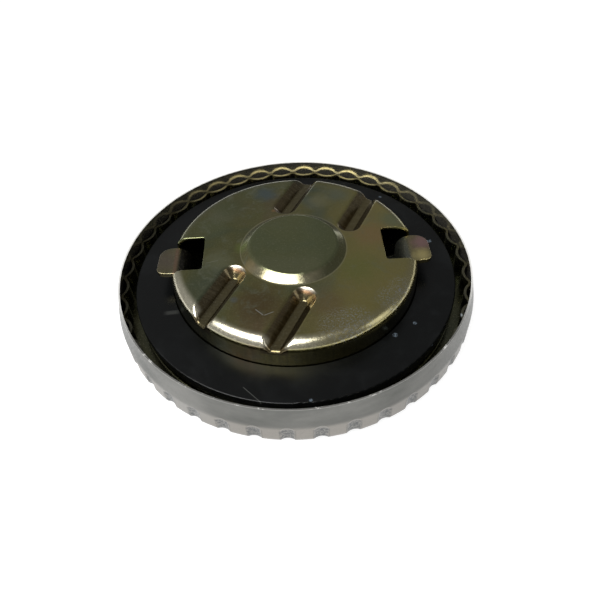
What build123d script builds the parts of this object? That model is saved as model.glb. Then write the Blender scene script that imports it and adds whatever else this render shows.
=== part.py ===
"""Bayonet fuel filler cap, lying on its outer face with the neck side up.

Millimetres.  The face that the driver sees rests on Z = 0, the cap's axis is Z, and
the two bayonet tabs point along +X and -X.  Widths are built up outward from the
cup that enters the filler neck, and heights upward from the resting face.
"""

import os
from math import atan, cos, degrees, radians, sin, sqrt, tan

from build123d import *

# ---- inner cup: enters the neck, carries the spring and guides the bar
CUP_SHEET = 0.8
CUP_RADIUS = 35.3  # outside, at its foot
CUP_HEIGHT = 11.2  # plate above the cup's foot
CUP_LEAN = 0.55  # how far the wall leans in on its way up
CUP_EDGE_BEND = 3.5
FLANGE_WIDTH = 3.9
FLANGE_BEND = 0.35
BOSS_HEIGHT = 1.9
BOSS_TOP_RADIUS = 12.2
BOSS_SLOPE = 2.65  # width of the boss's sloping side
BOSS_TOP_BEND = 1.1
BOSS_FOOT_BEND = 0.9
CHANNEL_ANGLE = 62.5  # direction of the four pressed channels, from +X
CHANNEL_OFFSET = 10.5  # channels to either side of the axis
CHANNEL_TO_BOSS = 0.77
CHANNEL_WIDTH = 7.2
CHANNEL_FLOOR = 2.2
CHANNEL_DEPTH = 3.0
CHANNEL_LIP = 0.9
CHANNEL_FLOOR_BEND = 0.7
WINDOW_DEPTH = 9.85  # from the cup's foot radius inward
WINDOW_SIDE_GAP = 1.2  # to each edge of the bar
WINDOW_CORNER = 0.8
WINDOW_LIP = 0.35  # rounding that the punch leaves around a window

# ---- gasket: a flat rubber ring
GASKET_WIDTH = 10.58
GASKET_THICKNESS = 3.0
GASKET_HOLE_GAP = 0.12  # around the cup's foot
GASKET_EDGE = 0.35
GASKET_RELIEF = 0.5  # clears the bend of the cup's flange

# ---- pan: seats the gasket and grips the shell with a wavy skirt
PAN_SHEET = 0.7
PAN_FLOOR = 5.5  # top of the floor between seat and skirt
SEAT_HEIGHT = 3.3  # raised seat above that floor
SEAT_INSET = 1.6  # seat's edge inside the gasket's edge
SEAT_SLOPE = 0.8
SEAT_BEND = 0.7
RECESS_BEND = 0.3
RECESS_GAP = 0.4  # around the cup's flange
SKIRT_HEIGHT = 5.5
SKIRT_ROOM = 2.35  # from the gasket to the skirt's valleys
SKIRT_WAVE = 1.4  # valley to crest
SKIRT_CREST_BEND = 1.5
SKIRT_WAVES = 40
SKIRT_PHASE = 3.4  # degrees from +X to the nearest valley
SKIRT_FIT = 0.08  # between the crests and the shell

# ---- outer shell: a drawn and fluted sheet cover
SHELL_SHEET = 0.45
RIM_HEIGHT = 15.5
RIM_INSET = 1.3  # how much the plain band narrows from the flutes to the rim
BAND_TOP = 9.6  # the plain band starts here
BAND_BEND = 5.0
FACE_FLAT_RADIUS = 32.0  # flat middle that the cap lies on
FACE_RISE = 2.35  # how far the face climbs from its flat to the band
FACE_BLEND = 20.0  # bend between the flat and the climbing part
FACE_EDGE_BEND = 3.0
FLUTES = 40
FLUTE_PHASE = 4.9  # degrees from +X to the nearest groove
FLUTE_DEPTH = 0.5
FLUTE_HOLLOW = 3.6  # radius of a groove's hollow and of its rounded ends
FLUTE_TOP = 8.0  # the rounded upper end starts here

# ---- locking bar: a flat strip with two raised tabs
BAR_SHEET = 1.5
BAR_WIDTH = 10.7
TAB_STANDOFF = 4.3  # from the free gasket to a tab's underside
TAB_REACH = 3.3  # tip of a tab beyond the cup
TAB_CORNER_FAR = 4.0
TAB_CORNER_NEAR = 1.8
TAB_CURL = 0.35  # a tab lifts by this from the cup's wall to its tip
TAB_CURL_BEND = 6.0
TAB_NECK = 0.4  # flat of a tab just inside the cup's wall
TAB_BEND = 4.0
LEG_DROP = 7.8  # from a tab to the bar's middle
LEG_BEND = 1.3
BAR_EDGE = 0.25  # worn rounding of the strip's edges
SILL_GAP = 0.05  # between a tab and the sill of its window
PAD_MARGIN = 1.8  # round pad beyond the spring
PAD_BLEND = 4.0
DOME_GAP = 0.9  # between the pad's centring dome and the spring
DOME_HEIGHT = 1.2
DOME_SLOPE = 0.8
DOME_BEND = 0.4

# ---- spring: pushes the bar away from the boss
SPRING_WIRE = 1.6
SPRING_RADIUS = 8.7
SPRING_TURNS = 4.5
SPRING_GAP = 0.02  # at both ground ends

# ---- radii that follow
flange_radius = CUP_RADIUS + FLANGE_WIDTH
boss_radius = BOSS_TOP_RADIUS + BOSS_SLOPE
window_start = CUP_RADIUS - WINDOW_DEPTH
window_width = BAR_WIDTH + 2 * WINDOW_SIDE_GAP
gasket_hole = CUP_RADIUS + GASKET_HOLE_GAP
gasket_radius = gasket_hole + GASKET_WIDTH
seat_radius = gasket_radius - SEAT_INSET
skirt_valley = gasket_radius + SKIRT_ROOM + PAN_SHEET / 2
skirt_crest = skirt_valley + SKIRT_WAVE
tab_tip = CUP_RADIUS + TAB_REACH
pad_radius = SPRING_RADIUS + SPRING_WIRE / 2 + PAD_MARGIN
dome_radius = SPRING_RADIUS - SPRING_WIRE / 2 - DOME_GAP

# ---- heights that follow
gasket_bottom = PAN_FLOOR + SEAT_HEIGHT
gasket_top = gasket_bottom + GASKET_THICKNESS
flange_bottom = gasket_bottom - CUP_SHEET
cup_top = gasket_bottom + CUP_HEIGHT
boss_top = cup_top + BOSS_HEIGHT
boss_underside = boss_top - CUP_SHEET
skirt_edge = PAN_FLOOR + SKIRT_HEIGHT
tab_bottom = gasket_top + TAB_STANDOFF
tab_top = tab_bottom + BAR_SHEET
bar_middle = tab_top - LEG_DROP

# ---- the shell grips the skirt's crests at the height of the skirt's edge
rim_taper = RIM_INSET / (RIM_HEIGHT - BAND_TOP)
shell_inside = skirt_crest + PAN_SHEET / 2 + SKIRT_FIT
shell_outside = shell_inside + SHELL_SHEET * sqrt(1 + rim_taper**2)
band_radius = shell_outside + rim_taper * (skirt_edge - BAND_TOP)
rim_radius = band_radius - RIM_INSET
face_slope = atan(FACE_RISE / (band_radius - FACE_FLAT_RADIUS))
far_out = 2 * band_radius


def beside(points, bends, shift):
    """Corners and bends of a line that runs to the right of a bent line."""
    points = [Vector(*point) for point in points]
    rights = [Vector((b - a).Y, -(b - a).X).normalized() for a, b in zip(points, points[1:])]
    moved = [points[0] + rights[0] * shift]
    radii = []
    for point, before, after, bend in zip(points[1:], rights, rights[1:], bends):
        moved.append(point + (before + after) * (shift / (1 + before.dot(after))))
        turn = 1 if before.cross(after).Z > 0 else -1
        radii.append(bend + turn * shift)
    moved.append(points[-1] + rights[-1] * shift)
    return moved, radii


def sheet_section(points, bends, thickness):
    """Section of a bent sheet, with the given line on its left side."""
    left = FilletPolyline(*points, radius=bends)
    moved, radii = beside(points, bends, thickness)
    right = FilletPolyline(*moved, radius=radii)
    ends = [Line(left @ 0, right @ 0), Line(left @ 1, right @ 1)]
    return make_face([*left.edges(), *right.edges(), *ends])


def block_section(points, bends, *corners):
    """Section that is filled between a bent line and the given corners."""
    outside = FilletPolyline(*points, radius=bends)
    ends = [outside @ 1, *corners, outside @ 0]
    return make_face([*outside.edges(), *[Line(a, b) for a, b in zip(ends, ends[1:])]])


def turned(section):
    """Solid that a section in (radius, height) sweeps around the cap's axis."""
    return revolve(Plane.XZ * section, Axis.Z)


def polar(radius, angle):
    """Point at a radius and an angle in degrees."""
    return Vector(radius, 0).rotate(Axis.Z, angle)


def flute_tools(sheet):
    """Grooves that follow the band and its bottom bend, grown by a sheet for the inside."""
    hollow = FLUTE_HOLLOW + sheet
    centre = band_radius - FLUTE_DEPTH + FLUTE_HOLLOW
    bend_turn = radians(90) - face_slope
    bend_x = band_radius - FACE_EDGE_BEND
    bend_z = FACE_RISE + FACE_EDGE_BEND * tan(bend_turn / 2)

    def around_bend(turn):
        reach = centre - bend_x
        return Vector(bend_x + reach * cos(turn), 0, bend_z - reach * sin(turn))

    start = Vector(centre, 0, FLUTE_TOP)
    end = around_bend(bend_turn)
    straight = Line(start, around_bend(0))
    bend = ThreePointArc(around_bend(0), around_bend(bend_turn / 2), end)
    groove = sweep(Plane(start, z_dir=(0, 0, -1)) * Circle(hollow), Wire([straight, bend]))
    groove += Pos(start) * Sphere(hollow) + Pos(end) * Sphere(hollow)
    return [Rot(0, 0, FLUTE_PHASE + k * 360 / FLUTES) * groove for k in range(FLUTES)]


def make_outer_shell():
    line = [
        (0, 0),
        (FACE_FLAT_RADIUS, 0),
        (band_radius, FACE_RISE),
        (band_radius, BAND_TOP),
        (rim_radius, RIM_HEIGHT),
    ]
    bends = [FACE_BLEND, FACE_EDGE_BEND, BAND_BEND]
    block = turned(block_section(line, bends, (0, RIM_HEIGHT)))
    hollow = block - turned(sheet_section(line, bends, -SHELL_SHEET))
    outside = block.cut(*flute_tools(0))
    inside = hollow.cut(*flute_tools(SHELL_SHEET))
    return outside - inside


def skirt_outline(shift):
    """Closed wavy outline of tangent arcs, shifted outward from the sheet's middle."""
    half_pitch = 180 / SKIRT_WAVES
    crest_centre = skirt_crest - SKIRT_CREST_BEND
    across = crest_centre * cos(radians(half_pitch))
    valley_bend = skirt_valley**2 + crest_centre**2 - 2 * skirt_valley * across
    valley_bend -= SKIRT_CREST_BEND**2
    valley_bend /= 2 * (SKIRT_CREST_BEND - skirt_valley + across)
    share = (valley_bend - shift) / (valley_bend + SKIRT_CREST_BEND)

    def join(valley_angle, crest_angle):
        start = polar(skirt_valley + valley_bend, valley_angle)
        return start + (polar(crest_centre, crest_angle) - start) * share

    arcs = []
    for k in range(SKIRT_WAVES):
        middle = SKIRT_PHASE + 2 * k * half_pitch
        after = middle + half_pitch
        left = join(middle, middle - half_pitch)
        right = join(middle, after)
        next_left = join(after + half_pitch, after)
        arcs.append(ThreePointArc(left, polar(skirt_valley + shift, middle), right))
        arcs.append(ThreePointArc(right, polar(skirt_crest + shift, after), next_left))
    return make_face(arcs)


def make_pan():
    seat_foot = seat_radius + SEAT_SLOPE
    recess = flange_radius + RECESS_GAP
    edge = seat_foot + SEAT_BEND + PAN_SHEET
    line = [
        (0, flange_bottom),
        (recess, flange_bottom),
        (recess + CUP_SHEET, gasket_bottom),
        (seat_radius, gasket_bottom),
        (seat_foot, PAN_FLOOR),
        (edge, PAN_FLOOR),
    ]
    bends = [RECESS_BEND, RECESS_BEND + PAN_SHEET, SEAT_BEND + PAN_SHEET, SEAT_BEND]
    middle = turned(sheet_section(line, bends, PAN_SHEET))
    outside = skirt_outline(PAN_SHEET / 2)
    floor = extrude(outside - Circle(edge), -PAN_SHEET)
    skirt = extrude(outside - skirt_outline(-PAN_SHEET / 2), SKIRT_HEIGHT)
    return middle + Pos(0, 0, PAN_FLOOR) * (floor + skirt)


def make_gasket():
    corners = [
        (gasket_hole + GASKET_RELIEF, gasket_bottom),
        (gasket_radius, gasket_bottom),
        (gasket_radius, gasket_top),
        (gasket_hole, gasket_top),
        (gasket_hole, gasket_bottom + GASKET_RELIEF),
    ]
    section = make_face(Polyline(*corners, close=True))
    outer = section.vertices().sort_by(Axis.X)[-2:]
    return turned(fillet(outer, GASKET_EDGE))


def channel_tools(sheet):
    """The four pressed channels, grown by a sheet's thickness for their outside."""
    draft = atan((CHANNEL_WIDTH - CHANNEL_FLOOR) / 2 / CHANNEL_DEPTH)
    half = CHANNEL_WIDTH / 2 + sheet / cos(draft)
    end_radius = boss_radius + CHANNEL_TO_BOSS + CHANNEL_WIDTH / 2
    end = sqrt(end_radius**2 - CHANNEL_OFFSET**2)
    length = far_out + 2 * half
    slot = Pos(end - half + length / 2, 0) * SlotOverall(length, 2 * half)
    tool = extrude(slot, -(CHANNEL_DEPTH + sheet), taper=degrees(draft))
    bottom = tool.edges().group_by(Axis.Z)[0]
    tool = fillet(bottom, CHANNEL_FLOOR_BEND + sheet)
    placed = []
    for turn in (0, 180):
        for side in (-1, 1):
            across = Pos(0, side * CHANNEL_OFFSET, cup_top) * tool
            placed.append(Rot(0, 0, CHANNEL_ANGLE + turn) * across)
    return placed


def make_inner_cup():
    line = [
        (0, boss_top),
        (BOSS_TOP_RADIUS, boss_top),
        (boss_radius, cup_top),
        (CUP_RADIUS - CUP_LEAN, cup_top),
        (CUP_RADIUS, gasket_bottom),
        (flange_radius, gasket_bottom),
    ]
    bends = [BOSS_TOP_BEND, BOSS_FOOT_BEND, CUP_EDGE_BEND, FLANGE_BEND]
    corners = [(flange_radius, flange_bottom), (0, flange_bottom)]
    block = turned(block_section(line, bends, *corners))
    hollow = block - turned(sheet_section(line, bends, CUP_SHEET))
    outside = block.cut(*channel_tools(0))
    lips = outside.edges().filter_by(lambda e: on_plate(e) and e.geom_type == GeomType.LINE)
    cup = outside.fillet(CHANNEL_LIP, lips) - hollow.cut(*channel_tools(CUP_SHEET))

    window = extrude(Rectangle(far_out, window_width), cup_top)
    window = fillet(window.edges().filter_by(Axis.Z), WINDOW_CORNER)
    for side in (-1, 1):
        cup -= Pos(side * (window_start + far_out / 2), 0, tab_bottom - SILL_GAP) * window
    beside_bar = cup.edges().filter_by(lambda e: on_plate(e) and is_window(e.center()))
    return cup.fillet(WINDOW_LIP, beside_bar)


def on_plate(edge):
    return abs(edge.center().Z - cup_top) < 0.001


def is_window(point):
    """True for a point on the outline of a window in the plate."""
    inside_width = abs(point.Y) < window_width / 2 + 0.01
    return inside_width and abs(point.X) < CUP_RADIUS - CUP_EDGE_BEND


def make_locking_bar():
    leg = CUP_RADIUS - CUP_SHEET - TAB_NECK - TAB_BEND
    right = [
        (tab_tip, tab_top + TAB_CURL),
        (CUP_RADIUS, tab_top),
        (leg, tab_top),
        (leg, bar_middle),
    ]
    left = [(-x, z) for x, z in reversed(right)]
    bends = [TAB_CURL_BEND, TAB_BEND, LEG_BEND]
    side_view = sheet_section(right + left, bends + bends[::-1], -BAR_SHEET)
    strip = extrude(Plane.XZ * side_view, pad_radius + 1, both=True)

    plan = Rectangle(2 * tab_tip, BAR_WIDTH)
    plan = fillet(plan.vertices().group_by(Axis.Y)[-1], TAB_CORNER_FAR)
    plan = fillet(plan.vertices().group_by(Axis.Y)[0], TAB_CORNER_NEAR)
    plan += Circle(pad_radius)
    necks = plan.vertices().filter_by(lambda v: abs(v.X) < pad_radius)
    plan = fillet(necks, PAD_BLEND)
    bar = strip & extrude(plan, cup_top)

    edge = dome_radius + DOME_BEND + BAR_SHEET
    dome = [
        (0, bar_middle + DOME_HEIGHT),
        (dome_radius - DOME_SLOPE, bar_middle + DOME_HEIGHT),
        (dome_radius, bar_middle),
        (edge, bar_middle),
    ]
    bends = [DOME_BEND + BAR_SHEET, DOME_BEND]
    opening = extrude(Circle(edge), cup_top)
    bar = bar - opening + turned(sheet_section(dome, bends, BAR_SHEET))
    raised = bar.edges().filter_by(lambda e: e.center().Z > (bar_middle + tab_bottom) / 2)
    return bar.fillet(BAR_EDGE, raised)


def make_bar_spring():
    height = boss_underside - bar_middle
    path = Helix(height / SPRING_TURNS, height, SPRING_RADIUS)
    wire = Plane(path @ 0, z_dir=path % 0) * Circle(SPRING_WIRE / 2)
    coil = Pos(0, 0, bar_middle) * sweep(wire, path)
    ground = extrude(Circle(2 * SPRING_RADIUS), height - 2 * SPRING_GAP)
    return coil & Pos(0, 0, bar_middle + SPRING_GAP) * ground


os.makedirs("parts", exist_ok=True)
export_step(make_outer_shell(), "parts/outer_shell.step")
export_step(make_pan(), "parts/pan.step")
export_step(make_gasket(), "parts/gasket.step")
export_step(make_inner_cup(), "parts/inner_cup.step")
export_step(make_locking_bar(), "parts/locking_bar.step")
export_step(make_bar_spring(), "parts/bar_spring.step")
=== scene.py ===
"""Looks of the bayonet fuel filler cap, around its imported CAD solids."""

from math import atan2, cos, pi, radians, sin

import bpy
from mathutils import Matrix, Vector


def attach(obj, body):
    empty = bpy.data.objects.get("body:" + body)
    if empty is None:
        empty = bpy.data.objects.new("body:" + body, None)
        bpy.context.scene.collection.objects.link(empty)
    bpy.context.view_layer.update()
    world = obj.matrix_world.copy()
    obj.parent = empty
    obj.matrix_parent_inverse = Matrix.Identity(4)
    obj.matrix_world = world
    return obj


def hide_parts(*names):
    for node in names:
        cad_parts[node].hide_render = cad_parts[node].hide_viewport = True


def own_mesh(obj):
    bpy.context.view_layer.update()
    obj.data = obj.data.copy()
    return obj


MM = 0.001

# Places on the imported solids, in mm and degrees
PLATE = 20.0  # height of the cup's plate
BOSS_FOOT = 15.0  # radius, just outside the foot
BOSS_TOP = 12.2  # radius
CHANNEL_ANGLE = 62.5
CHANNEL_OFFSET = 10.5  # from the cap's middle to a channel's middle line
CHANNEL_HALF = 3.6  # half width at the plate
CHANNEL_END = 12.6  # along a channel, just outside its inner end
EDGE_BEND = 31.2  # radius, just inside the cup's edge bend
TAB_BEND = 33.6  # from the cap's middle, just past the start of a tab's bend
GROOVES = 40
GROOVE_PHASE = 4.9  # from +X to the nearest groove
BAND_START = 9.6  # height at which the shell's plain band starts
BAND_TAPER = 0.2203  # by how much the band narrows on its way up
RIM = 15.5  # height
BAR_MIDDLE = 9.8  # height
BOSS_UNDERSIDE = 21.1  # height
SPRING_RADIUS = 8.7
SPRING_WIRE = 0.8  # radius
SPRING_TURNS = 4.5
SPRING_GAP = 0.02  # at both ground ends

# Fitted to the photo
CAMERA_PLACE = (1.033, -115.733, 122.862)
CAMERA_ELEVATION = 47.15
CAMERA_ROLL = 3.17
CAMERA_LENS = 32.78
ROOM_LEFT = 0.28
ROOM_RIGHT = 0.16

# Stains: place in mm, reach in mm, hue, strength
CUP_STAINS = [
    ((-8, 26, 20), 4.0, (0.17, 0.22, 0.30), 0.8),
    ((7, 20, 20), 3.5, (0.27, 0.28, 0.26), 0.7),
    ((14, 24, 20), 4.0, (0.27, 0.30, 0.29), 0.6),
    ((29, 10, 20), 4.0, (0.27, 0.33, 0.27), 0.6),
    ((23, 4, 20), 5.5, (0.52, 0.33, 0.20), 0.65),
    ((17, -10, 20), 6.5, (0.33, 0.35, 0.13), 0.55),
    ((21.5, 13, 20), 4.0, (0.40, 0.33, 0.19), 0.7),
    ((9, 21, 20), 3.5, (0.42, 0.38, 0.24), 0.6),
    ((8, -22, 20), 5.0, (0.36, 0.25, 0.16), 0.6),
    ((-24, 11, 20), 5.0, (0.23, 0.25, 0.17), 0.6),
    ((-21, 17, 20), 4.5, (0.33, 0.33, 0.29), 0.5),
    ((-21, -4, 20), 4.5, (0.36, 0.36, 0.28), 0.6),
    ((-16, -19, 20), 1.1, (0.27, 0.31, 0.38), 0.8),
    ((-9.5, -21, 20), 7.0, (0.20, 0.135, 0.075), 0.85),
    ((-19, 20, 20), 5.0, (0.19, 0.20, 0.12), 0.8),
    ((-14, 1, 20), 2.5, (0.33, 0.40, 0.13), 0.7),
    # Painted highlight: a peach patch at the boss's left front, the tail of the lamp's highlight on
    # its slope
    ((-12, -7.5, 20.3), 2.2, (0.62, 0.43, 0.20), 0.8),
    ((-5.2, 17.2, 19), 1.1, (0.95, 0.40, 0.22), 1.0),
    ((-14, -30, 12), 4.5, (0.33, 0.20, 0.10), 0.7),
]
BAR_STAINS = [
    ((37, 2, 18), 3.4, (0.50, 0.31, 0.29), 1.0),
    ((36, -3.5, 18), 2.8, (0.85, 0.72, 0.32), 1.0),
    ((-37, 0, 18), 4.5, (0.28, 0.235, 0.18), 0.9),
]

# Scuffs and specks: place in mm, reach in mm
CUP_SCUFFS = [
    ((10.5, -29.5, 20), 3.5),
    ((14.5, -28, 20), 3.0),
    ((24.5, -21, 20), 2.5),
    ((27.5, -17, 20), 2.0),
]
RUBBER_SPECKS = [
    ((31, -23.3, 11.8), 0.35),
    ((25.2, -26.9, 11.8), 0.5),
    ((41.2, 8.8, 11.8), 0.55),
    ((29.5, 32, 11.8), 0.35),
    ((34.2, -30.9, 11.8), 0.2),
    ((2.3, -45.2, 11.8), 0.25),
]
PAN_FLAKE = (43.8, -20.6, 10.5)
SHELL_PATCH = (-29, -41, 9)
RAY_CENTRE = (-35.8, -2.0)

# Scratches: start and end in mm, half width in mm, strength
CUP_SCRATCHES = [
    ((-10.5, -22.6, 20), (-8.3, -24.9, 20), 0.16, 0.7),
    ((-8.3, -24.9, 20), (-5.7, -23.8, 20), 0.14, 0.7),
    ((-24.5, -4.5, 20), (-21.0, -3.6, 20), 0.12, 0.3),
]
RUBBER_SCRATCHES = [
    ((-14, -40.4, 11.8), (-8.6, -46.1, 11.8), 0.12, 0.6),
    ((-37, -14.9, 11.8), (-31.5, -14.6, 11.8), 1.0, 0.22),
]

# Hues that a noise runs through: level of the noise, hue
ZINC_HUES = [
    (0.32, (0.19, 0.22, 0.20)),
    (0.42, (0.25, 0.245, 0.15)),
    (0.50, (0.31, 0.275, 0.135)),
    (0.58, (0.34, 0.285, 0.15)),
    (0.68, (0.34, 0.245, 0.165)),
]
# Painted shade in the channels, with drawing lines along them
CHANNEL_LINES_AND_SHADE = [
    (0.35, (0.085, 0.055, 0.030)),
    (0.55, (0.17, 0.125, 0.065)),
    (0.70, (0.30, 0.245, 0.15)),
]
PLATING_HUES = [
    (0.35, (0.120, 0.123, 0.114)),
    (0.65, (0.190, 0.190, 0.178)),
]

# Single hues
ZINC_GRIME = (0.13, 0.12, 0.07)
ZINC_PALE_GRAIN = (0.52, 0.50, 0.30)
ZINC_DARK_GRAIN = (0.12, 0.11, 0.05)
ZINC_PEBBLE = (0.55, 0.52, 0.36)
# Painted shade on the cup's plate towards the back left
CUP_OLIVE_SHADE = (0.15, 0.165, 0.095)
CUP_STRAW = (0.50, 0.41, 0.185)
CUP_FILM = (0.36, 0.37, 0.34)
CUP_FILTER = (0.98, 1.02, 0.80)
# Dark streaks on the cup's wall, and painted shade on its right
CUP_WALL_STREAK_AND_SHADE = (0.07, 0.07, 0.045)
# Painted highlight on the cup's edge bend at the left front, painted shade at its back
CUP_EDGE_HIGHLIGHT = (0.84, 0.79, 0.62)
CUP_EDGE_SHADE = (0.08, 0.08, 0.055)
CUP_SCUFF = (0.62, 0.64, 0.60)
CUP_SCRATCH = (0.85, 0.88, 0.85)
# Painted highlight on the boss's front slope
BOSS_FRONT_HIGHLIGHT = (0.46, 0.42, 0.30)
BOSS_SHADE = (0.155, 0.16, 0.075)
# Painted highlight: a thin pale line round the boss's foot
BOSS_FOOT_HIGHLIGHT = (0.72, 0.68, 0.45)
BOSS_GREEN = (0.225, 0.255, 0.125)
CHANNEL_FLOOR = (0.18, 0.155, 0.075)
# Painted glint at the front channels' inner ends, copper-orange low and pale on the lip
COPPER_GLINT = (1.0, 0.52, 0.27)
PALE_GLINT = (0.95, 0.86, 0.72)
BAR_RAY = (0.13, 0.11, 0.08)
BAR_RED = (0.42, 0.25, 0.17)
# Painted shade on the bar's legs inside the windows
BAR_LEG_SHADE_LEFT = (0.025, 0.022, 0.018)
BAR_LEG_SHADE_RIGHT = (0.10, 0.105, 0.085)
# Painted shade and highlight on the pan's skirt edge
SKIRT_FRONT_SHADE = (0.10, 0.098, 0.070)
SKIRT_BACK_HIGHLIGHT = (0.74, 0.66, 0.36)
SKIRT_CREST_SHADE = (0.10, 0.09, 0.05)
# Grime and painted shade on the pan low in the gap
PAN_GRIME_AND_SHADE = (0.075, 0.08, 0.045)
PAN_CHIP = (0.80, 0.88, 0.92)
# Painted reflection: the shell's fluted lower band lighter than its plain band
SHELL_LOWER_BAND_REFLECTION = (0.285, 0.268, 0.242)
# Painted shade along the shell's crease
SHELL_CREASE_SHADE = (0.15, 0.15, 0.14)
SHELL_GRAIN = (0.13, 0.13, 0.12)
SHELL_LIGHTER = (0.29, 0.285, 0.27)
# Painted shade on the shell's right side
SHELL_RIGHT_SHADE = (0.09, 0.09, 0.082)
GROOVE_GREY = (0.19, 0.20, 0.205)
GROOVE_SPECK = (0.045, 0.055, 0.06)
# Painted shade along the groove borders
GROOVE_BORDER_SHADE = (0.09, 0.09, 0.085)
# Pale rim: rubbed through in dashes at the front, a painted highlight along the back
SHELL_RIM_BARE_AND_HIGHLIGHT = (0.98, 0.97, 0.93)
SHELL_INSIDE = (0.66, 0.63, 0.52)
RUBBER = (0.0024, 0.0028, 0.0029)
RUBBER_HAZE = (0.0055, 0.0064, 0.0067)
RUBBER_DUST = (0.08, 0.08, 0.08)
RUBBER_SPECK = (0.20, 0.25, 0.30)
RUBBER_SMEAR = (0.12, 0.125, 0.115)
WIRE_DARK = (0.16, 0.155, 0.15)
WIRE_LIGHT = (0.42, 0.41, 0.39)

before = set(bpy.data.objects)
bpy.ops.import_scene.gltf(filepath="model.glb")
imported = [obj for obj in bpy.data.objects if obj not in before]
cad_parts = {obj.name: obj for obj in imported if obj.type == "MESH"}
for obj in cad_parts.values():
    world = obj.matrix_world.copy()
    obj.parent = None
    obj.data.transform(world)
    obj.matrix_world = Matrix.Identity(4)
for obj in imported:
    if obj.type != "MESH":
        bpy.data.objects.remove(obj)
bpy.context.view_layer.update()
scene = bpy.context.scene


class Nodes:
    """Builds a node tree. An input that is a socket is linked, any other is set."""

    def __init__(self, tree):
        self.tree = tree
        tree.nodes.clear()

    def feed(self, socket, value):
        if isinstance(value, bpy.types.NodeSocket):
            self.tree.links.new(value, socket)
        else:
            socket.default_value = value

    def add(self, kind, inputs=None, **settings):
        node = self.tree.nodes.new(kind)
        for name, value in settings.items():
            setattr(node, name, value)
        for name, value in (inputs or {}).items():
            self.feed(node.inputs[name], value)
        return node

    def math(self, operation, a, b=0.0, c=0.0):
        return self.add("ShaderNodeMath", {0: a, 1: b, 2: c}, operation=operation).outputs[0]

    def product(self, first, *others):
        for other in others:
            first = self.math("MULTIPLY", first, other)
        return first

    def ramp(self, value, low, high, to_low=0.0, to_high=1.0):
        """Maps low..high smoothly to to_low..to_high, held beyond them."""
        inputs = {"Value": value, "From Min": low, "From Max": high}
        inputs.update({"To Min": to_low, "To Max": to_high})
        return self.add("ShaderNodeMapRange", inputs, interpolation_type="SMOOTHSTEP").outputs[0]

    def close_to(self, value, centre, none, full, top=1.0):
        """top where value is within full of centre, 0 beyond none."""
        apart = self.math("ABSOLUTE", self.math("SUBTRACT", value, centre))
        return self.ramp(apart, none, full, 0.0, top)

    def noise(self, coords, scale, detail, roughness=0.5, distortion=0.0):
        inputs = {"Vector": coords, "Scale": scale, "Detail": detail}
        inputs.update({"Roughness": roughness, "Distortion": distortion})
        return self.add("ShaderNodeTexNoise", inputs).outputs["Fac"]

    def scaled(self, coords, scale, turn=0.0, shift=(0.0, 0.0, 0.0)):
        inputs = {"Vector": coords, "Scale": scale, "Rotation": (0.0, 0.0, turn), "Location": shift}
        return self.add("ShaderNodeMapping", inputs).outputs[0]

    def mix(self, factor, a, b, blend="MIX"):
        node = self.add("ShaderNodeMix", data_type="RGBA", blend_type=blend, clamp_factor=True)
        for name, value in (("Factor", factor), ("A", a), ("B", b)):
            socket = next(s for s in node.inputs if s.name == name and s.enabled)
            self.feed(socket, (*value, 1.0) if isinstance(value, tuple) else value)
        return next(s for s in node.outputs if s.enabled)

    def lay(self, colour, hue, *shares):
        """Lays a hue over a colour, as strongly as the product of the shares."""
        return self.mix(self.product(*shares), colour, hue)

    def colours(self, value, stops):
        node = self.add("ShaderNodeValToRGB", {"Fac": value})
        elements = node.color_ramp.elements
        while len(elements) < len(stops):
            elements.new(0.5)
        for element, (position, colour) in zip(elements, stops):
            element.position = position
            element.color = (*colour, 1.0)
        return node.outputs["Color"]

    def coords(self):
        """Position in the piece, in mm."""
        return self.scaled(self.add("ShaderNodeTexCoord").outputs["Object"], (1 / MM,) * 3)

    def split(self, vector):
        return self.add("ShaderNodeSeparateXYZ", {0: vector}).outputs

    def radius(self, x, y):
        """Distance from the cap's axis."""
        return self.math("SQRT", self.math("MULTIPLY_ADD", x, x, self.math("MULTIPLY", y, y)))

    def angle(self, x, y):
        """Angle about the cap's axis, in degrees."""
        return self.math("MULTIPLY", self.math("ARCTAN2", y, x), 180 / pi)

    def distance(self, coords, centre):
        node = self.add("ShaderNodeVectorMath", {0: coords, 1: centre}, operation="DISTANCE")
        return node.outputs["Value"]

    def near(self, coords, centre, reach, soft):
        """1 within reach mm of a place, 0 beyond reach + soft."""
        return self.ramp(self.distance(coords, centre), reach + soft, reach)

    def bump(self, height, distance_mm, strength):
        inputs = {"Height": height, "Distance": distance_mm * MM, "Strength": strength}
        return self.add("ShaderNodeBump", inputs).outputs[0]

    def surface(self, **inputs):
        named = {name.replace("_", " "): value for name, value in inputs.items()}
        node = self.add("ShaderNodeBsdfPrincipled", named)
        self.add("ShaderNodeOutputMaterial", {"Surface": node.outputs[0]})


def new_material(name):
    material = bpy.data.materials.new(name)
    material.use_nodes = True
    return material, Nodes(material.node_tree)


def zinc(n, coords, seed):
    """Colour and grain of yellow-passivated zinc, with its oily hues."""
    moved = n.scaled(coords, (1, 1, 1), shift=(seed * 17.0, seed * 5.0, 0))
    colour = n.colours(n.noise(moved, 0.055, 2.5, 0.55, 0.6), ZINC_HUES)
    fine = n.noise(moved, 0.9, 5.0, 0.65)
    colour = n.lay(colour, ZINC_GRIME, n.ramp(fine, 0.3, 0.7, 0.22, 0.0))
    grain = n.noise(moved, 3.2, 2.0, 0.7)
    colour = n.lay(colour, ZINC_PALE_GRAIN, n.ramp(grain, 0.56, 0.72, 0.0, 0.5))
    colour = n.lay(colour, ZINC_DARK_GRAIN, n.ramp(grain, 0.44, 0.30, 0.0, 0.5))
    return colour, fine


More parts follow.
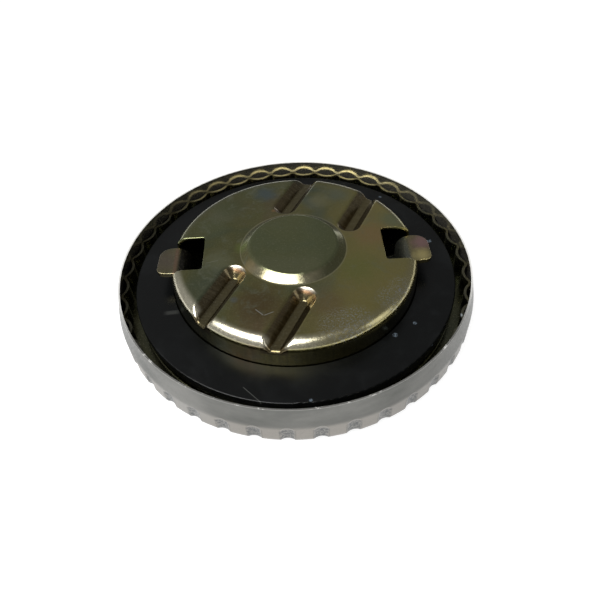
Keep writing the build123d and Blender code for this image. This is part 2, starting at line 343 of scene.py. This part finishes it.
def finish_zinc(n, coords, colour, fine, worn, low_rough=0.15, high_rough=0.25):
    """Lays the bright, faintly pebbled surface under the colour, rubbed dull where worn."""
    dents = n.noise(coords, 0.22, 2.0, 0.5)
    pebbles = n.noise(coords, 2.2, 3.0, 0.6)
    normal = n.bump(n.math("MULTIPLY_ADD", pebbles, 0.20, dents), 0.12, 0.6)
    colour = n.lay(colour, ZINC_PEBBLE, n.ramp(pebbles, 0.52, 0.75, 0.0, 0.35))
    rough = n.math("MULTIPLY_ADD", worn, 0.3, n.ramp(fine, 0.3, 0.7, low_rough, high_rough))
    n.surface(
        Base_Color=colour,
        Metallic=1.0,
        Roughness=rough,
        Normal=normal,
        Coat_Weight=0.25,
        Coat_Roughness=0.12,
    )


def stained(n, colour, coords, stains):
    """Lays soft, ragged patches of other hues."""
    for centre, reach, hue, strength in stains:
        wobble = n.noise(coords, 0.35, 3.0, 0.6)
        ragged = n.math("MULTIPLY_ADD", wobble, reach, n.distance(coords, centre))
        colour = n.lay(colour, hue, n.ramp(ragged, 1.9 * reach, 0.7 * reach, 0.0, strength))
    return colour


def scratched(n, colour, coords, scratches, hue):
    """Draws thin straight marks."""
    for start, end, width, strength in scratches:
        run = Vector(end) - Vector(start)
        middle = (Vector(start) + Vector(end)) / 2
        inputs = {0: coords, 1: tuple(middle)}
        local = n.add("ShaderNodeVectorMath", inputs, operation="SUBTRACT").outputs[0]
        u, v, w = n.split(n.scaled(local, (1, 1, 1), turn=-atan2(run.y, run.x)))
        length = n.ramp(n.math("ABSOLUTE", u), run.length / 2, run.length / 2 - 2 * width)
        line = n.ramp(n.math("ABSOLUTE", v), width, 0.3 * width)
        near_face = n.ramp(n.math("ABSOLUTE", w), 1.0, 0.8)
        colour = n.lay(colour, hue, line, length, near_face, strength)
    return colour


def plate_hues(n, colour, coords, x, y):
    """The cup's sheet: painted shade towards the back left, warm on the right, stained, with a whitish
    film.
    """
    # Painted shade: darker olive towards the back left
    dull = n.ramp(n.math("MULTIPLY_ADD", y, -0.55, x), -34.0, 10.0, 0.60, 0.0)
    colour = n.lay(colour, CUP_OLIVE_SHADE, dull)
    warm = n.ramp(n.math("MULTIPLY_ADD", y, -0.25, x), 0.0, 24.0, 0.0, 0.75)
    colour = n.lay(colour, CUP_STRAW, warm)
    colour = stained(n, colour, coords, CUP_STAINS)
    film = n.ramp(n.noise(coords, 0.22, 6.0, 0.75, 0.5), 0.52, 0.66, 0.0, 0.45)
    colour = n.lay(colour, CUP_FILM, film, n.ramp(x, 6.0, -12.0, 0.5, 1.0))
    return n.mix(1.0, colour, CUP_FILTER, "MULTIPLY")


def boss_hues(n, colour, x, y, z, radius):
    """The boss: a painted highlight on the front slope, painted shade on the right one, a thin painted
    highlight round the foot and a green top.
    """
    cone = n.product(n.ramp(radius, BOSS_FOOT + 0.2, BOSS_FOOT - 0.4), n.ramp(z, PLATE, PLATE + 0.1))
    # Painted highlight: the front slope made pale
    colour = n.lay(colour, BOSS_FRONT_HIGHLIGHT, cone, n.ramp(y, -3.0, -9.0, 0.0, 0.6))
    colour = n.lay(colour, BOSS_SHADE, cone, n.ramp(x, 5.0, 9.0, 0.0, 0.85))
    # Painted highlight: a thin pale line round the boss's foot
    foot_highlight = n.close_to(radius, BOSS_FOOT, 0.25, 0.05)
    colour = n.lay(colour, BOSS_FOOT_HIGHLIGHT, foot_highlight, n.ramp(z, PLATE - 0.1, PLATE), 0.4)
    top = n.product(n.ramp(radius, BOSS_TOP + 1.2, BOSS_TOP), n.ramp(z, PLATE + 1.0, PLATE + 1.6))
    return n.lay(colour, BOSS_GREEN, top, 0.75)


def channel_hues(n, colour, coords, x, y, z):
    """The channels, darkened brown as painted shade, with drawing lines; the front ones end in a
    painted glint, copper-orange low and pale on the lip, whose mask is returned.
    """
    slope = radians(CHANNEL_ANGLE)
    across = n.math("MULTIPLY_ADD", y, cos(slope), n.math("MULTIPLY", x, -sin(slope)))
    along = n.math("MULTIPLY_ADD", y, sin(slope), n.math("MULTIPLY", x, cos(slope)))
    aside = n.math("ABSOLUTE", n.math("SUBTRACT", n.math("ABSOLUTE", across), CHANNEL_OFFSET))

    sunk = n.product(
        n.ramp(aside, CHANNEL_HALF, CHANNEL_HALF - 0.6),
        n.ramp(z, PLATE - 0.05, PLATE - 0.4),
        n.ramp(z, 15.6, 16.4),
    )
    # Painted shade: the sunk channels darkened brown, with drawing lines along them
    lines = n.noise(n.scaled(coords, (0.08, 4.5, 0.08), turn=-slope), 1.0, 3.0, 0.7)
    brown = n.colours(lines, CHANNEL_LINES_AND_SHADE)
    brown = n.lay(brown, CHANNEL_FLOOR, n.ramp(aside, 1.6, 0.9, 0.0, 0.5))
    colour = n.lay(colour, brown, sunk, 0.85)

    # Mask of the front channels' inner ends, where a glint is painted
    end = n.product(
        n.ramp(n.math("ABSOLUTE", along), CHANNEL_END + 1.6, CHANNEL_END),
        n.ramp(aside, CHANNEL_HALF + 0.6, CHANNEL_HALF - 0.4),
        n.ramp(y, 0.0, -4.0),
        n.ramp(z, PLATE, PLATE - 0.2),
    )
    # Painted glint: copper-orange low and pale on the lip
    copper = n.mix(n.ramp(z, PLATE - 1.1, PLATE - 0.4), COPPER_GLINT, PALE_GLINT)
    return n.lay(colour, copper, end), end


def wall_hues(n, colour, coords, x, z):
    """The cup's wall: dark streaks down it, and painted shade on the right."""
    streak = n.noise(n.scaled(coords, (1.3, 1.3, 0.03)), 1.0, 3.0, 0.7)
    # Painted shade on the wall, darker towards the right
    shade = n.ramp(x, 5.0, 25.0, 0.0, 0.85)
    dark = n.math("MAXIMUM", shade, n.ramp(streak, 0.35, 0.7, 0.4, 0.0))
    return n.lay(colour, CUP_WALL_STREAK_AND_SHADE, n.ramp(z, 17.0, 16.0), dark)


def edge_hues(n, colour, coords, x, y, bend):
    """The cup's edge bend: a painted highlight at the left front, painted shade at the back, with
    scuffs.
    """
    # Painted highlight: the bend made pale at the left front
    front = n.product(bend, n.ramp(y, 2.0, -14.0), n.ramp(x, 10.0, -2.0, 0.2, 0.9))
    colour = n.lay(colour, CUP_EDGE_HIGHLIGHT, front)
    # Painted shade: the bend made dark at the back
    colour = n.lay(colour, CUP_EDGE_SHADE, bend, n.ramp(y, 6.0, 20.0), 0.7)
    broken = n.ramp(n.noise(coords, 2.0, 5.0, 0.85), 0.50, 0.60)
    for centre, reach in CUP_SCUFFS:
        colour = n.lay(colour, CUP_SCUFF, n.near(coords, centre, reach, reach), broken, 0.8)
    return colour


def cup_zinc():
    """The inner cup: zinc with its own hues on plate, boss, channels, wall and edge."""
    material, n = new_material("zinc_cup")
    coords = n.coords()
    x, y, z = n.split(coords)
    radius = n.radius(x, y)
    colour, fine = zinc(n, coords, 1)
    colour = plate_hues(n, colour, coords, x, y)
    colour = boss_hues(n, colour, x, y, z, radius)
    colour, end = channel_hues(n, colour, coords, x, y, z)
    colour = wall_hues(n, colour, coords, x, z)
    bend = n.product(n.ramp(radius, EDGE_BEND, EDGE_BEND + 2.0), n.ramp(z, 17.6, 18.6))
    colour = edge_hues(n, colour, coords, x, y, bend)
    colour = scratched(n, colour, coords, CUP_SCRATCHES, CUP_SCRATCH)
    worn = n.math("MULTIPLY_ADD", end, 0.6, n.math("MULTIPLY", bend, 0.15))
    finish_zinc(n, coords, colour, fine, worn)
    return material


def bar_zinc():
    """The locking bar: pinkish right tab, grey-brown left one with rays and a red bend, legs in
    painted shade, darkest on the left.
    """
    material, n = new_material("zinc_bar")
    coords = n.coords()
    x, y = n.split(coords)[:2]
    colour, fine = zinc(n, coords, 2)
    colour = stained(n, colour, coords, BAR_STAINS)
    from_centre_x = n.math("SUBTRACT", x, RAY_CENTRE[0])
    from_centre_y = n.math("SUBTRACT", y, RAY_CENTRE[1])
    turn = n.math("ARCTAN2", from_centre_y, from_centre_x)
    fan = n.noise(n.add("ShaderNodeCombineXYZ", {0: turn}).outputs[0], 2.6, 4.0, 0.8)
    rays = n.ramp(fan, 0.35, 0.65, 0.35, 0.0)
    colour = n.lay(colour, BAR_RAY, rays, n.ramp(x, -33.0, -34.0))
    colour = n.lay(colour, BAR_RED, n.close_to(x, -TAB_BEND, 0.9, 0.2, 0.6))
    leg = n.ramp(n.math("ABSOLUTE", x), TAB_BEND, TAB_BEND - 1.2)
    # Painted shade on the legs inside the windows, darkest on the left
    leg_shade = n.mix(n.ramp(x, -20.0, 20.0), BAR_LEG_SHADE_LEFT, BAR_LEG_SHADE_RIGHT)
    colour = n.lay(colour, leg_shade, leg)
    finish_zinc(n, coords, colour, fine, leg)
    return material


def pan_zinc():
    """The pan: a skirt edge with a painted yellow highlight at the back and painted shade in front and
    on its outer crests, and a floor darkened by grime and painted shade.
    """
    material, n = new_material("zinc_pan")
    coords = n.coords()
    x, y, z = n.split(coords)
    colour, fine = zinc(n, coords, 3)
    # Painted light on the skirt's top edge: a yellow highlight at the back, shade in front
    edge = n.mix(n.ramp(y, 28.0, 47.0), SKIRT_FRONT_SHADE, SKIRT_BACK_HIGHLIGHT)
    # Painted shade on the outer crests, next to the shell's wall
    edge = n.lay(edge, SKIRT_CREST_SHADE, n.ramp(n.radius(x, y), 48.9, 49.9, 0.0, 0.75))
    colour = n.lay(colour, edge, n.ramp(z, 10.2, 10.9, 0.0, 0.95))
    # Grime and painted shade on the pan's floor and lower skirt
    colour = n.lay(colour, PAN_GRIME_AND_SHADE, n.ramp(z, 10.7, 9.2), 0.9)
    chip = n.near(coords, PAN_FLAKE, 0.5, 0.5)
    colour = n.lay(colour, PAN_CHIP, chip, n.ramp(fine, 0.35, 0.5))
    finish_zinc(n, coords, colour, fine, n.ramp(z, 10.6, 10.9), 0.20, 0.32)
    return material


def groove_hues(n, colour, coords, fine, x, y, z):
    """Speckled patches in the shell's grooves, with painted shade along their borders."""
    pitch = 360 / GROOVES
    share = n.math("MULTIPLY_ADD", n.angle(x, y), 1 / pitch, 0.5 - GROOVE_PHASE / pitch + GROOVES)
    aside = n.math("ABSOLUTE", n.math("SUBTRACT", n.math("FRACT", share), 0.5))
    ragged = n.math("MULTIPLY_ADD", n.noise(coords, 0.8, 3.0, 0.7), 0.24, n.math("ADD", aside, -0.12))
    height = n.product(n.ramp(z, 8.6, 8.0), n.ramp(z, 0.8, 2.2))
    inside = n.product(n.ramp(ragged, 0.26, 0.16), height)
    speckle = n.ramp(n.noise(coords, 1.5, 5.0, 0.85), 0.44, 0.56)
    colour = n.lay(colour, GROOVE_GREY, inside, 0.35)
    colour = n.lay(colour, GROOVE_SPECK, inside, speckle, 0.75)
    # Painted shade along the groove borders, broken by noise
    border = n.product(n.close_to(aside, 0.235, 0.035, 0.0), height, n.ramp(fine, 0.35, 0.6))
    return n.lay(colour, GROOVE_BORDER_SHADE, border, 0.45)


def shell_plating():
    """Satin grey plating: a lighter fluted lower band as painted reflection, so a darker plain band,
    painted shade along the crease and on the right, speckled grooves with painted shade at their
    borders, a rim rubbed through in dashes at the front with a painted highlight along the back, a
    polished inside.
    """
    material, n = new_material("shell_plating")
    coords = n.coords()
    x, y, z = n.split(coords)
    fine = n.noise(coords, 1.8, 4.0, 0.7)
    broad = n.noise(n.scaled(coords, (0.6, 0.6, 2.0)), 0.11, 3.0, 0.6)
    colour = n.colours(broad, PLATING_HUES)
    # Painted reflection: the fluted lower band made lighter than the plain band
    colour = n.lay(colour, SHELL_LOWER_BAND_REFLECTION, n.ramp(z, 10.4, 8.4))
    # Painted shade along the crease above the flutes
    colour = n.lay(colour, SHELL_CREASE_SHADE, n.ramp(z, 9.2, 10.0), n.ramp(z, 12.0, 10.2), 0.35)
    colour = n.lay(colour, SHELL_GRAIN, n.ramp(fine, 0.35, 0.6, 0.25, 0.0))
    colour = n.lay(colour, SHELL_LIGHTER, n.near(coords, SHELL_PATCH, 3.0, 10.0), 0.5)
    # Painted shade, darker towards the right
    colour = n.lay(colour, SHELL_RIGHT_SHADE, n.ramp(x, 5.0, 35.0, 0.0, 0.35))
    colour = groove_hues(n, colour, coords, fine, x, y, z)

    rim = n.ramp(z, RIM - 0.25, RIM - 0.08)
    dashes = n.ramp(n.noise(coords, 0.5, 4.0, 0.7), 0.57, 0.64, 0.2, 0.7)
    # Pale rim: rubbed through in dashes at the front, a painted highlight all along the back
    bare_and_highlight = n.product(rim, n.math("MAXIMUM", n.ramp(y, -38.0, -8.0), dashes))
    colour = n.lay(colour, SHELL_RIM_BARE_AND_HIGHLIGHT, bare_and_highlight)
    above = n.math("SUBTRACT", z, BAND_START)
    wall_radius = n.math("MULTIPLY_ADD", above, BAND_TAPER, n.radius(x, y))
    polished = n.product(n.ramp(wall_radius, 51.15, 51.05), n.ramp(z, 9.8, 10.2))
    polished = n.product(polished, n.math("SUBTRACT", 1.0, rim))
    colour = n.lay(colour, SHELL_INSIDE, polished)

    satin = n.ramp(fine, 0.3, 0.7, 0.30, 0.44)
    rough = n.math("MULTIPLY_ADD", polished, -0.20, satin)
    rough = n.math("MULTIPLY_ADD", rim, 0.12, rough)
    normal = n.bump(fine, 0.05, n.math("MULTIPLY_ADD", polished, -0.4, 0.5))
    metal = n.math("MULTIPLY_ADD", bare_and_highlight, -0.6, 0.9)
    n.surface(Base_Color=colour, Metallic=metal, Roughness=rough, Normal=normal)
    return material


def seal_rubber():
    """Smooth black rubber with a haze of dust, pale specks, a smear and a thin scratch."""
    material, n = new_material("seal_rubber")
    coords = n.coords()
    blotch = n.noise(coords, 0.10, 4.0, 0.6, 0.8)
    colour = n.mix(n.ramp(blotch, 0.45, 0.75), RUBBER, RUBBER_HAZE)
    dust = n.ramp(n.noise(coords, 3.0, 4.0, 0.8), 0.70, 0.82)
    colour = n.lay(colour, RUBBER_DUST, dust, 0.25)
    broken = n.ramp(n.noise(coords, 2.2, 2.0, 0.6), 0.42, 0.55)
    for centre, reach in RUBBER_SPECKS:
        colour = n.lay(colour, RUBBER_SPECK, n.near(coords, centre, reach, 0.3), broken, 0.5)
    colour = scratched(n, colour, coords, RUBBER_SCRATCHES, RUBBER_SMEAR)
    rough = n.ramp(blotch, 0.3, 0.7, 0.27, 0.36)
    normal = n.bump(n.noise(coords, 2.5, 3.0, 0.6), 0.02, 0.4)
    n.surface(Base_Color=colour, Roughness=rough, Normal=normal, Specular_IOR_Level=0.30)
    return material


def spring_wire():
    """Drawn spring wire with fine lines."""
    material, n = new_material("spring_wire")
    lines = n.noise(n.scaled(n.coords(), (1, 1, 6)), 1.5, 3.0, 0.6)
    colour = n.mix(lines, WIRE_DARK, WIRE_LIGHT)
    n.surface(Base_Color=colour, Metallic=1.0, Roughness=n.ramp(lines, 0.3, 0.7, 0.25, 0.42))
    return material


def coil_mesh(name):
    """Round wire on a helix from the bar to the boss, ground flat just short of both."""
    around, along = 20, int(56 * SPRING_TURNS)
    lowest, highest = BAR_MIDDLE + SPRING_GAP, BOSS_UNDERSIDE - SPRING_GAP
    points, faces = [], []
    for i in range(along + 1):
        share = i / along
        turn = 2 * pi * SPRING_TURNS * share
        out = Vector((cos(turn), sin(turn), 0.0))
        height = BAR_MIDDLE + (BOSS_UNDERSIDE - BAR_MIDDLE) * share
        centre = out * SPRING_RADIUS + Vector((0, 0, height))
        for k in range(around):
            a = 2 * pi * k / around
            point = centre + out * (SPRING_WIRE * cos(a)) + Vector((0, 0, SPRING_WIRE * sin(a)))
            point.z = min(max(point.z, lowest), highest)
            points.append(point)
    for i in range(along):
        for k in range(around):
            a, b = i * around + k, i * around + (k + 1) % around
            faces.append((a, a + around, b + around, b))
    faces.append(tuple(range(around)))
    faces.append(tuple(reversed(range(along * around, (along + 1) * around))))
    mesh = bpy.data.meshes.new(name)
    mesh.from_pydata([p * MM for p in points], [], faces)
    mesh.validate()
    mesh.shade_smooth()
    piece = bpy.data.objects.new(name, mesh)
    scene.collection.objects.link(piece)
    return piece


def dress(node, material):
    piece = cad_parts[node]
    piece.data.materials.clear()
    piece.data.materials.append(material)


def add_spring():
    spring = coil_mesh("return_spring")
    spring.data.materials.append(spring_wire())
    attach(spring, "cap")
    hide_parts("bar_spring")
    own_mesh(spring)


def add_camera():
    elevation, roll = radians(CAMERA_ELEVATION), radians(CAMERA_ROLL)
    right = Vector((1, 0, 0))
    up = Vector((0, sin(elevation), cos(elevation)))
    back = Vector((0, -cos(elevation), sin(elevation)))
    turned_right = right * cos(roll) - up * sin(roll)
    turned_up = right * sin(roll) + up * cos(roll)
    data = bpy.data.cameras.new("camera")
    data.sensor_width = 36
    data.lens = CAMERA_LENS
    data.clip_start = 0.01
    data.clip_end = 20
    camera = bpy.data.objects.new("camera", data)
    scene.collection.objects.link(camera)
    turn = Matrix((turned_right, turned_up, back)).transposed().to_4x4()
    camera.matrix_world = Matrix.Translation(Vector(CAMERA_PLACE) * MM) @ turn
    scene.camera = camera


def add_floor():
    """Pale floor that shows white where nothing shades it."""
    mesh = bpy.data.meshes.new("floor")
    size = 3.0
    corners = [(-size, -size, 0), (size, -size, 0), (size, size, 0), (-size, size, 0)]
    mesh.from_pydata(corners, [], [(0, 1, 2, 3)])
    floor = bpy.data.objects.new("floor", mesh)
    floor.location.z = -0.05 * MM
    scene.collection.objects.link(floor)
    material, n = new_material("floor")
    path = n.add("ShaderNodeLightPath").outputs
    seen = n.math("MAXIMUM", path["Is Camera Ray"], path["Is Glossy Ray"])
    seen = n.math("MAXIMUM", seen, path["Is Transmission Ray"])
    plain = n.add("ShaderNodeBsdfDiffuse", {"Color": (0.80, 0.80, 0.80, 1)}).outputs[0]
    shaded = n.add("ShaderNodeBsdfDiffuse", {"Color": (0.45, 0.45, 0.45, 1)}).outputs[0]
    glow = n.add("ShaderNodeEmission", {"Color": (1, 1, 1, 1), "Strength": 0.80}).outputs[0]
    white = n.add("ShaderNodeAddShader", {0: shaded, 1: glow}).outputs[0]
    both = n.add("ShaderNodeMixShader", {0: seen, 1: plain, 2: white}).outputs[0]
    n.add("ShaderNodeOutputMaterial", {"Surface": both})
    mesh.materials.append(material)


def add_world():
    """White to the camera; to the object, a dim room, darker on its right."""
    world = bpy.data.worlds.new("studio")
    world.use_nodes = True
    scene.world = world
    n = Nodes(world.node_tree)
    x = n.split(n.add("ShaderNodeTexCoord").outputs["Generated"])[0]
    level = n.ramp(x, -0.9, 0.9, ROOM_LEFT, ROOM_RIGHT)
    camera = n.add("ShaderNodeLightPath").outputs["Is Camera Ray"]
    strength = n.math("MAXIMUM", camera, level)
    background = n.add("ShaderNodeBackground", {"Color": (1, 1, 1, 1), "Strength": strength})
    n.add("ShaderNodeOutputWorld", {"Surface": background.outputs[0]})


def add_lamp(name, tilt_x, tilt_y, distance, width, depth, power):
    """Soft lamp aimed at the cap, tilted from overhead by degrees towards +X and +Y."""
    data = bpy.data.lights.new(name, "AREA")
    data.shape = "RECTANGLE"
    data.size = width
    data.size_y = depth
    data.energy = power
    lamp = bpy.data.objects.new(name, data)
    direction = Vector((sin(radians(tilt_x)), sin(radians(tilt_y)), 1.0))
    direction.z = (1 - direction.x**2 - direction.y**2) ** 0.5
    lamp.location = direction * distance
    lamp.rotation_euler = direction.to_track_quat("Z", "Y").to_euler()
    scene.collection.objects.link(lamp)


dress("outer_shell", shell_plating())
dress("pan", pan_zinc())
dress("gasket", seal_rubber())
dress("inner_cup", cup_zinc())
dress("locking_bar", bar_zinc())
add_spring()
add_camera()
add_floor()
add_world()
add_lamp("window", -21, -24, 0.6, 0.54, 0.34, 3.8)
add_lamp("side", 59, -20, 0.6, 0.20, 0.30, 0.2)

scene.view_settings.view_transform = "Standard"
